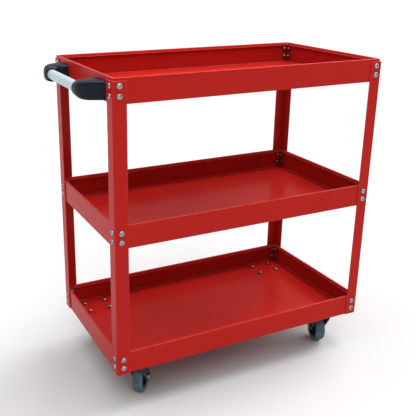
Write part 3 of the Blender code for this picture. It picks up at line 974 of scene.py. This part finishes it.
@dataclass
class Post:
    """An angle post rolled from thick sheet, with its bend at the outer corner."""

    corner: str
    wall: float = 0.0020
    inner_bend: float = 0.0010
    hold: float = 0.0005
    edge_break: float = 0.00035

    def build(self) -> bpy.types.Object:
        """Roll the angle.

        Returns:
            The post in place.
        """
        low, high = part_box(f"post_{self.corner}")
        outer = self.wall + self.inner_bend
        flange, hold = high.x - low.x, self.hold
        line = [(flange, 0.0), (flange, self.wall), (outer + hold, self.wall)]
        line += arc(outer, outer, self.inner_bend, 270, 180, 5)
        line += [(self.wall, outer + hold), (self.wall, flange), (0.0, flange), (0.0, outer + hold)]
        line += arc(outer, outer, outer, 180, 270, 8)
        line += [(outer + hold, 0.0)]
        left, front = "left" in self.corner, "front" in self.corner
        corner_x, step_x = (low.x, 1) if left else (high.x, -1)
        corner_y, step_y = (low.y, 1) if front else (high.y, -1)
        placed = [(corner_x + step_x * x, corner_y + step_y * y) for x, y in line]
        item = show(f"post_{self.corner}_rolled", prism(placed, low.z, high.z))
        chamfer(item, self.edge_break, 60.0)
        return settle(item)

    def dress(self, shop: PaintShop) -> None:
        """Build and coat the post."""
        shop.dress(self.build(), Finish.RED, FRAME_BODY, (f"post_{self.corner}",))


# Fasteners

@dataclass
class Fastener:
    """One size of screw or bolt with its nut."""

    head_radius: float
    head_height: float
    head_sides: int
    crown: float            # 2 is a round dome, high numbers are flat with a small chamfer
    recess_length: float
    recess_width: float
    shank_radius: float
    nut_radius: float
    nut_height: float
    thread_end: float
    pitch: float

    def place(self, name: str, spots: Sequence[tuple[Vector, Vector]], grip: float, recipe: Recipe,
              shop: PaintShop, seed: int = 7) -> bpy.types.Object:
        """Set one of these on every spot.

        Args:
            name: the piece's name.
            spots: (seat, direction of the head) pairs.
            grip: how thick the clamped stack is.
            recipe: the fastener tree.
            shop: where the finish comes from.
            seed: seed of the random turn of each one.

        Returns:
            One mesh with all of them.
        """
        mesh = bpy.data.meshes.new(name)
        mesh.from_pydata([seat for seat, _ in spots], [], [])
        axes = mesh.attributes.new("axis", "FLOAT_VECTOR", "POINT")
        for entry, (_, direction) in zip(axes.data, spots):
            entry.vector = direction
        item = bpy.data.objects.new(name, mesh)
        bpy.context.scene.collection.objects.link(item)
        return recipe.run(
            item, shop.coats[Finish.ZINC], Head_Radius=self.head_radius, Head_Height=self.head_height,
            Head_Sides=self.head_sides, Crown=self.crown, Recess_Length=self.recess_length,
            Recess_Width=self.recess_width, Grip=grip, Shank_Radius=self.shank_radius,
            Nut_Radius=self.nut_radius, Nut_Height=self.nut_height, Thread_End=self.thread_end,
            Pitch=self.pitch, Seed=seed)


PAN_SCREW = Fastener(0.0060, 0.0028, 28, 2.1, 0.0070, 0.0016, 0.0030, 0.00577, 0.0048, 0.0018, 0.0010)
BRACKET_SCREW = Fastener(0.0048, 0.0026, 24, 2.4, 0.0054, 0.0011, 0.0022, 0.0040, 0.0032, 0.0010, 0.0008)
PLATE_BOLT = Fastener(0.00577, 0.0040, 6, 14.0, 0.0, 0.0010, 0.0030, 0.00577, 0.0048, 0.0018, 0.0010)
AXLE_BOLT = Fastener(0.0075, 0.0045, 6, 14.0, 0.0, 0.0010, 0.0040, 0.0075, 0.0045, 0.0018, 0.00125)


@dataclass
class FrameScrews:
    """The cross-recess screws that hold every post flange to every tray side."""

    recipe: Recipe
    line: float = 0.015         # in from the outer corner
    row_pitch: float = 0.020
    post_wall: float = 0.0020
    tray_wall: float = 0.0012

    def spots(self) -> list[tuple[Vector, Vector]]:
        """Where each screw sits and which way its head looks.

        Returns:
            48 (seat, direction) pairs.
        """
        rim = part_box("top_tray")[1].z
        first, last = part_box("post_screw_face_front_left")
        upper = rim - (first.z + last.z) / 2
        found = []
        for corner in CORNERS:
            low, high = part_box(f"post_{corner}")
            edge_x, away_x = (low.x, -1) if "left" in corner else (high.x, 1)
            edge_y, away_y = (low.y, -1) if "front" in corner else (high.y, 1)
            for tray in ("bottom_tray", "middle_tray", "top_tray"):
                for row in (upper, upper + self.row_pitch):
                    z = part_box(tray)[1].z - row
                    found.append((Vector((edge_x - away_x * self.line, edge_y, z)),
                                  Vector((0, away_y, 0))))
                    found.append((Vector((edge_x, edge_y - away_y * self.line, z)),
                                  Vector((away_x, 0, 0))))
        return found

    def dress(self, shop: PaintShop) -> None:
        """Place and coat the screws."""
        grip = self.post_wall + TOUCH + self.tray_wall
        item = PAN_SCREW.place("frame_screws", self.spots(), grip, self.recipe, shop)
        nodes = [f"post_screw_face_{corner}" for corner in CORNERS]
        nodes += ["post_screw_side_front_right", "post_screw_side_rear_right"]
        shop.dress(item, Finish.ZINC, FRAME_BODY, nodes)


# Handle

@dataclass
class Handle:
    """Two moulded elbows on the short side of the top tray, with a tube between them."""

    recipe: Recipe
    socket_wall: float = 0.0048
    insertion: float = 0.018
    tube_wall: float = 0.0015
    outer_taper: float = 0.010
    inner_taper: float = 0.005
    mouth_setback: float = 0.004
    bend_softness: float = 0.8
    root_squareness: float = 7.0
    lip_chamfer: float = 0.0012
    recess: float = 0.0022
    tray_wall: float = 0.0012
    screw_rise: float = 0.011

    def __post_init__(self) -> None:
        """Read the tube's axis and the tray's side."""
        low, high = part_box("handle_tube")
        self.axis = (low + high) / 2
        self.radius = (high.z - low.z) / 2
        self.half = (high.y - low.y) / 2
        self.socket = self.radius + TOUCH + self.socket_wall
        self.mouth = self.half - self.insertion

    def section(self, inner: tuple[float, float], outer: tuple[float, float], tall: float,
                squareness: float, sides: int = 56) -> list[Vector]:
        """An upright closed curve between two plan points.

        Args:
            inner: plan point of its inner side.
            outer: plan point of its outer side.
            tall: half its height.
            squareness: 2 is round, high numbers are boxy.
            sides: how many points it has.

        Returns:
            The points.
        """
        points = []
        for index in range(sides):
            angle = 2 * pi * (index + 0.5) / sides
            level, rise = cos(angle), sin(angle)
            level = abs(level) ** (2 / squareness) * (1 if level > 0 else -1)
            rise = abs(rise) ** (2 / squareness) * (1 if rise > 0 else -1)
            x = (inner[0] + outer[0]) / 2 + (outer[0] - inner[0]) / 2 * level
            y = (inner[1] + outer[1]) / 2 + (outer[1] - inner[1]) / 2 * level
            points.append(Vector((x, y, self.axis.z + tall * rise)))
        return points

    def bracket(self, name: str, side: int) -> bpy.types.Object:
        """Mould one elbow.

        Args:
            name: front or rear.
            side: -1 at the front, 1 at the rear.

        Returns:
            The elbow in place.
        """
        low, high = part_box(f"handle_bracket_{name}")
        root, tall = high.x, (high.z - low.z) / 2
        outer_y = max(abs(low.y), abs(high.y))
        inner_y = self.mouth - self.mouth_setback
        arm_outer, arm_inner = outer_y - self.outer_taper, inner_y + self.inner_taper
        bend_x = self.axis.x + self.socket
        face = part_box("post_front_left")[0].x
        start = self.mouth + self.lip_chamfer
        loops = []
        for share in (0.0, 0.12, 0.5, 1.0):
            x = root + (face - root) * share
            pinch = 0.0006 if share == 0.0 else 0.0
            loops.append(self.section((x, side * (inner_y + pinch)), (x, side * (outer_y - pinch)),
                                      tall - pinch, self.root_squareness))
        steps = 20
        for index in range(steps + 1):
            share = index / steps
            turn = share * pi / 2
            along, out = max(cos(turn), 0.0) ** self.bend_softness, sin(turn) ** self.bend_softness
            inner = (bend_x, side * (start + (arm_inner - start) * along))
            outer = (bend_x - 2 * self.socket * out, side * (start + (arm_outer - start) * along))
            blend = share * share * (3 - 2 * share)
            loops.append(self.section(inner, outer, tall + (self.socket - tall) * share,
                                      self.root_squareness - (self.root_squareness - 2) * blend))
        bore, step = self.radius + TOUCH, self.recess
        for radius, depth in ((self.socket - self.lip_chamfer, 0.0), (bore + step, 0.0),
                              (bore + step, step), (bore, step + 0.0003), (bore, self.insertion + TOUCH)):
            y = side * (self.mouth + depth)
            loops.append(self.section((self.axis.x + radius, y), (self.axis.x - radius, y), radius, 2.0))
        return settle(show(f"handle_elbow_{name}", loft(loops)))

    def tube(self) -> bpy.types.Object:
        """Draw the tube.

        Returns:
            The tube in place.
        """
        inner, outer, half, trim = self.radius - self.tube_wall, self.radius, self.half, 0.0004
        line = [(outer - trim, -half), (outer, trim - half), (outer, half - trim), (outer - trim, half),
                (inner, half), (inner, -half)]
        item = show("handle_tube_drawn", turned(line, 72))
        item.data.transform(Matrix.Translation(self.axis) @ Matrix.Rotation(pi / 2, 4, "X"))
        return settle(item)

    def screws(self, shop: PaintShop) -> bpy.types.Object:
        """The four screws that hold the elbows, driven from inside the tray.

        Args:
            shop: where the finish comes from.

        Returns:
            All four in one mesh.
        """
        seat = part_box("top_tray")[0].x + self.tray_wall
        spots = []
        for name in ("front", "rear"):
            low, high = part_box(f"handle_bracket_{name}")
            for rise in (-self.screw_rise, self.screw_rise):
                spots.append((Vector((seat, (low.y + high.y) / 2, self.axis.z + rise)),
                              Vector((1, 0, 0))))
        return BRACKET_SCREW.place("handle_screws", spots, 0.004, self.recipe, shop, seed=3)

    def dress(self, shop: PaintShop) -> None:
        """Build and coat the handle."""
        for name, side in (("front", -1), ("rear", 1)):
            shop.dress(self.bracket(name, side), Finish.PLASTIC, FRAME_BODY, (f"handle_bracket_{name}",))
        shop.dress(self.tube(), Finish.TUBE, FRAME_BODY, ("handle_tube",))
        shop.dress(self.screws(shop), Finish.ZINC, FRAME_BODY, ())


# Casters

@dataclass
class Caster:
    """A swivel caster: pressed plate, ball race, fork and wheel. Its own z = 0 is under the tray."""

    corner: str
    fasteners: Recipe
    tyres: Recipe
    ribs: Recipe
    wheel_radius: float = 0.0375
    wheel_width: float = 0.024
    tyre_thickness: float = 0.0105
    boss_radius: float = 0.0095
    boss_half: float = 0.013
    rim_half: float = 0.010
    web_half: float = 0.003
    rib_sheet: float = 0.0018
    rib_count: int = 6
    shoulder: float = 3.4           # 2 is a round tyre, high numbers are square
    groove_pitch: float = 0.0052
    groove_depth: float = 0.0014
    groove_reach: float = 0.0090    # grooves lie within this distance of the middle
    fork_inner: float = 0.014
    fork_sheet: float = 0.0025
    fork_bend: float = 0.0040
    crown_length: float = 0.044
    crown_radius: float = 0.0225
    eye_radius: float = 0.0115
    axle_radius: float = 0.0040
    plate_sheet: float = 0.0025
    boss_depth: float = 0.0032
    boss_width: float = 0.0210
    race_radius: float = 0.0230
    race_height: float = 0.0042
    race_bore: float = 0.0120
    pin_radius: float = 0.0050
    tray_wall: float = 0.0012
    bolt_half_x: float = 0.0275
    bolt_half_y: float = 0.0205

    def __post_init__(self) -> None:
        """Read the swivel axis and the wheel's centre from the joints."""
        joints = {joint["name"]: joint for joint in frame["joints"]}
        swivel = Vector(joints[f"swivel_turn_{self.corner}"]["pos_m"])
        wheel = joints[f"wheel_spin_{self.corner}"]
        self.centre = Vector((swivel.x, swivel.y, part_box("bottom_tray")[0].z))
        self.hub_place = Vector(wheel["pos_m"])
        self.axle = Vector(wheel["axis"])
        trail = self.hub_place - self.centre
        self.turn = atan2(trail.y, trail.x)
        self.trail = Vector((trail.x, trail.y)).length
        self.axle_z = trail.z
        self.stack = self.plate_sheet + self.boss_depth + self.race_height + self.fork_sheet + 3 * TOUCH
        self.swivel_body = f"swivel_{self.corner}"
        self.wheel_body = f"wheel_{self.corner}"

    def fixed(self, item: bpy.types.Object) -> bpy.types.Object:
        """Move a piece from the swivel axis to its place, unturned."""
        item.data.transform(Matrix.Translation(self.centre))
        return item

    def swivelled(self, item: bpy.types.Object) -> bpy.types.Object:
        """Move a piece from the swivel axis to its place, turned with the fork."""
        item.data.transform(Matrix.Translation(self.centre) @ Matrix.Rotation(self.turn, 4, "Z"))
        return item

    def rolled(self, item: bpy.types.Object) -> bpy.types.Object:
        """Move a piece turned about Z onto the axle."""
        lay = Matrix.Rotation(self.turn, 4, "Z") @ Matrix.Rotation(pi / 2, 4, "X")
        item.data.transform(Matrix.Translation(self.hub_place) @ lay)
        return item

    def plate(self) -> bpy.types.Object:
        """Press the top plate with its round boss.

        Returns:
            The plate in place.
        """
        low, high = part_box(f"caster_plate_{self.corner}")
        top, foot = -TOUCH, -TOUCH - self.plate_sheet
        outline = rounded((high.x - low.x) / 2, (high.y - low.y) / 2, 0.006, 8)
        item = show(f"caster_plate_{self.corner}_pressed", prism(outline, foot, top))
        chamfer(item, 0.0004, 60.0)
        settle(item)
        deep, wide, soft = foot - self.boss_depth, self.boss_width, 0.0012
        line = [(wide, foot + 0.001), (wide, foot), (wide - 0.0006, deep + soft)]
        line += arc(wide - 0.0006 - soft, deep + soft, soft, 0, -90, 5)
        line += [(self.pin_radius + TOUCH, deep), (self.pin_radius + TOUCH, foot + 0.001)]
        combine(item, turned(line, 64), "UNION")
        return self.fixed(item)

    def pin(self) -> bpy.types.Object:
        """Turn the kingpin with a domed head under the crown.

        Returns:
            The kingpin in place.
        """
        under, wide, tall = -self.stack - TOUCH, 0.0085, 0.0030
        line = [(self.pin_radius - 0.0004, -TOUCH), (self.pin_radius, -TOUCH - 0.0004),
                (self.pin_radius, under), (wide, under), (wide, under - 0.0006)]
        line += [(wide * cos(radians(a)), under - 0.0006 - (tall - 0.0006) * sin(radians(a)))
                 for a in (15, 30, 45, 60, 75, 86)]
        return self.fixed(settle(show(f"caster_kingpin_{self.corner}_turned", turned(line, 40, False))))

    def race(self) -> bpy.types.Object:
        """Turn the two cups of the ball race with the gap between them.

        Returns:
            The race in place.
        """
        top = -2 * TOUCH - self.plate_sheet - self.boss_depth
        foot, wide, soft = top - self.race_height, self.race_radius, 0.0007
        middle, slit = (top + foot) / 2, 0.0003
        line = [(self.race_bore, foot), (wide - soft, foot), (wide, foot + soft), (wide, middle - slit),
                (wide - 0.0025, middle - slit), (wide - 0.0025, middle + slit),
                (wide - soft, middle + slit), (wide - soft, top - soft), (wide - 2 * soft, top),
                (self.race_bore, top)]
        return self.swivelled(settle(show(f"caster_race_{self.corner}_turned", turned(line, 72))))

    def fork(self) -> bpy.types.Object:
        """Fold the fork: round crown, two tapered legs and their eyes.

        Returns:
            The fork in place.
        """
        inner, outer = self.fork_inner, self.fork_inner + self.fork_sheet
        top, bend, sheet = -self.stack + self.fork_sheet, self.fork_bend, self.fork_sheet
        low, reach = self.axle_z - 2 * self.eye_radius, self.trail + 3 * self.eye_radius
        line = [(outer, low)] + arc(outer - bend, top - bend, bend, 0, 90, 7)
        line += arc(bend - outer, top - bend, bend, 90, 180, 7) + [(-outer, low), (-inner, low)]
        line += arc(bend - outer, top - bend, bend - sheet, 180, 90, 5)
        line += arc(outer - bend, top - bend, bend - sheet, 90, 0, 5) + [(inner, low)]
        lay = Matrix(((0, 0, 1, 0), (1, 0, 0, 0), (0, 1, 0, 0), (0, 0, 0, 1)))
        item = show(f"caster_fork_{self.corner}_folded", prism(line, -reach, reach, lay))
        half, shoulder = self.crown_length / 2, top - bend - sheet
        side = [(half, top + sheet), (-half, top + sheet), (-half, shoulder)]
        side += arc(self.trail, self.axle_z, self.eye_radius, 200, 380, 24)
        side += [(half + self.trail / 4, shoulder - self.eye_radius), (half, shoulder)]
        stand = Matrix(((1, 0, 0, 0), (0, 0, 1, 0), (0, 1, 0, 0), (0, 0, 0, 1)))
        combine(item, prism(side, -2 * outer, 2 * outer, stand), "INTERSECT")
        disc = [(self.crown_radius, top - sheet + 0.0004), (self.crown_radius, top - 0.0005),
                (self.crown_radius - 0.0005, top)]
        combine(item, turned([(self.crown_radius - 0.0005, top - sheet)] + disc, 64, False), "UNION")
        combine(item, turned([(self.pin_radius + TOUCH, z) for z in (-2 * self.stack, 0.0)], 32, False),
                "DIFFERENCE")
        eye = turned([(self.axle_radius + TOUCH, z) for z in (-2 * outer, 2 * outer)], 32, False)
        eye.transform(Matrix.Translation((self.trail, 0, self.axle_z)) @ Matrix.Rotation(pi / 2, 4, "X"))
        combine(item, eye, "DIFFERENCE")
        chamfer(item, 0.0004, 60.0)
        return self.swivelled(settle(item))

    def hub(self, shop: PaintShop) -> bpy.types.Object:
        """Mould the hub with its ribs.

        Args:
            shop: where the finish comes from.

        Returns:
            The hub in place.
        """
        bore, boss, soft = self.axle_radius + TOUCH, self.boss_radius, 0.0008
        seat = self.wheel_radius - self.tyre_thickness - TOUCH
        flange = seat - 0.0021
        half = [(bore, -self.boss_half), (boss - soft, -self.boss_half), (boss, soft - self.boss_half),
                (boss, -self.web_half - soft), (boss + soft, -self.web_half), (flange - soft, -self.web_half),
                (flange, -self.web_half - soft), (flange + 0.0003, -self.rim_half), (seat, -self.rim_half)]
        item = show(f"caster_hub_{self.corner}_moulded", turned(
            half + [(radius, -z) for radius, z in reversed(half)], 72))
        self.ribs.run(item, shop.coats[Finish.HUB], Inner_Radius=boss - 0.001, Outer_Radius=flange + 0.001,
                      Rib_Thickness=self.rib_sheet, Rib_Depth=2 * self.rim_half - 0.003, Ribs=self.rib_count)
        return self.rolled(item)

    def tyre(self, shop: PaintShop) -> bpy.types.Object:
        """Mould the tyre with its grooves.

        Args:
            shop: where the finish comes from.

        Returns:
            The tyre in place.
        """
        item = show(f"caster_tyre_{self.corner}_moulded", bmesh.new())
        self.tyres.run(item, shop.coats[Finish.RUBBER], Wheel_Radius=self.wheel_radius,
                       Width=self.wheel_width, Thickness=self.tyre_thickness, Shoulder=self.shoulder,
                       Groove_Pitch=self.groove_pitch, Groove_Depth=self.groove_depth,
                       Groove_Reach=self.groove_reach,
                       Profile_Points=97, Turn_Points=129)
        return self.rolled(item)

    def dress(self, shop: PaintShop) -> None:
        """Build and coat the caster."""
        corner = self.corner
        shop.dress(self.plate(), Finish.ZINC, FRAME_BODY, (f"caster_plate_{corner}",))
        shop.dress(self.pin(), Finish.ZINC, FRAME_BODY, (f"caster_kingpin_{corner}",))
        seat = self.centre.z - TOUCH - self.plate_sheet
        spots = [(Vector((self.centre.x + x, self.centre.y + y, seat)), -UP)
                 for x in (-self.bolt_half_x, self.bolt_half_x)
                 for y in (-self.bolt_half_y, self.bolt_half_y)]
        bolts = PLATE_BOLT.place(f"caster_bolts_{corner}", spots,
                                 self.plate_sheet + TOUCH + self.tray_wall, self.fasteners, shop, seed=11)
        shop.dress(bolts, Finish.ZINC, FRAME_BODY, [f"caster_bolt_{corner}_{n}" for n in (1, 2, 3, 4)])
        shop.dress(self.race(), Finish.ZINC, self.swivel_body, (f"caster_race_{corner}",))
        shop.dress(self.fork(), Finish.STEEL, self.swivel_body, (f"caster_fork_{corner}",))
        outer = self.fork_inner + self.fork_sheet
        spots = [(self.hub_place + self.axle * outer, self.axle)]
        bolt = AXLE_BOLT.place(f"caster_axle_{corner}_bolt", spots, 2 * outer, self.fasteners, shop, seed=5)
        shop.dress(bolt, Finish.ZINC, self.swivel_body, (f"caster_axle_{corner}",))
        shop.dress(self.hub(shop), Finish.HUB, self.wheel_body, (f"caster_hub_{corner}",))
        shop.dress(self.tyre(shop), Finish.RUBBER, self.wheel_body, (f"caster_tyre_{corner}",))


# Studio

@dataclass(frozen=True)
class Lamp:
    """Soft light from one part of the sky."""

    name: str
    side: tuple[float, float, float]    # where it comes from
    spread: float                       # how wide that part is, in degrees
    strength: float                     # in watts to the square metre


LAMPS = (
    Lamp("high", (0.20, -0.08, 0.97), 30.0, 1.8),
    Lamp("high_front", (-0.15, -0.52, 0.83), 40.0, 1.4),
    Lamp("high_left", (-0.45, 0.12, 0.88), 50.0, 1.2),
    Lamp("low_right", (0.78, 0.22, 0.58), 50.0, 3.0),
)


@dataclass
class Studio:
    """Pale floor, soft lights and the camera."""

    floor_half: float = 40.0
    azimuth: float = radians(25.749)
    elevation: float = radians(-18.63)
    roll: float = radians(0.263)
    stand: Vector = field(default_factory=lambda: Vector((-0.7591, -1.3348, 0.9577)))
    lens: float = 57.46
    shift_x: float = 0.1118
    shift_y: float = -0.0551
    sky: float = 0.52               # light from all round
    backdrop: float = 1.0           # how bright the sky looks

    def floor(self) -> None:
        """Lay the floor."""
        shape = bmesh.new()
        corners = [shape.verts.new((x * self.floor_half, y * self.floor_half, 0.0))
                   for x, y in ((-1, -1), (1, -1), (1, 1), (-1, 1))]
        shape.faces.new(corners)
        item = show("studio_floor", shape)
        item.data.materials.append(StudioFloor().make())

    def camera(self) -> None:
        """Stand the camera at the front left, a little above the top tray."""
        ahead = Vector((sin(self.azimuth) * cos(self.elevation), cos(self.azimuth) * cos(self.elevation),
                        sin(self.elevation)))
        right = ahead.cross(UP).normalized()
        up = right.cross(ahead)
        right, up = (right * cos(self.roll) + up * sin(self.roll),
                     up * cos(self.roll) - right * sin(self.roll))
        data = bpy.data.cameras.new("camera")
        data.sensor_width = 36.0
        data.lens, data.shift_x, data.shift_y = self.lens, self.shift_x, self.shift_y
        data.clip_end = 200.0
        item = bpy.data.objects.new("camera", data)
        item.matrix_world = Matrix.Translation(self.stand) @ Matrix((right, up, -ahead)).transposed().to_4x4()
        bpy.context.scene.collection.objects.link(item)
        bpy.context.scene.camera = item

    def sky_light(self, lamp: Lamp) -> None:
        """Hang one lamp.

        Args:
            lamp: the lamp.
        """
        data = bpy.data.lights.new(lamp.name, "SUN")
        data.angle, data.energy = radians(lamp.spread), lamp.strength
        item = bpy.data.objects.new(lamp.name, data)
        item.matrix_world = (-Vector(lamp.side)).to_track_quat("-Z", "Y").to_matrix().to_4x4()
        bpy.context.scene.collection.objects.link(item)

    def build(self) -> None:
        """Set up the whole studio."""
        self.floor()
        self.camera()
        for lamp in LAMPS:
            self.sky_light(lamp)
        world = bpy.data.worlds.new("daylight")
        world.use_nodes = True
        sky = world.node_tree.nodes["Background"]
        sky.inputs["Color"].default_value = (1.0, 1.0, 1.0, 1.0)
        board = Board(world.node_tree)
        seen = board.sum(board.add("ShaderNodeLightPath").outputs["Is Camera Ray"])
        board.feed(sky.inputs["Strength"], seen * (self.backdrop - self.sky) + self.sky)
        bpy.context.scene.world = world
        bpy.context.scene.view_settings.view_transform = "Standard"


def main() -> None:
    """Build the trolley piece by piece, then the studio round it."""
    logging.basicConfig(level=logging.INFO, format="%(message)s")
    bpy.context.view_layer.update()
    shop = PaintShop()
    fasteners, tyres, ribs = fastener_recipe(), tyre_recipe(), rib_recipe()
    for node in ("bottom_tray", "middle_tray", "top_tray"):
        Tray(node).dress(shop)
    for corner in CORNERS:
        Post(corner).dress(shop)
    FrameScrews(fasteners).dress(shop)
    Handle(fasteners).dress(shop)
    for corner in CORNERS:
        Caster(corner, fasteners, tyres, ribs).dress(shop)
    Studio().build()


if __name__ == "__main__":
    main()
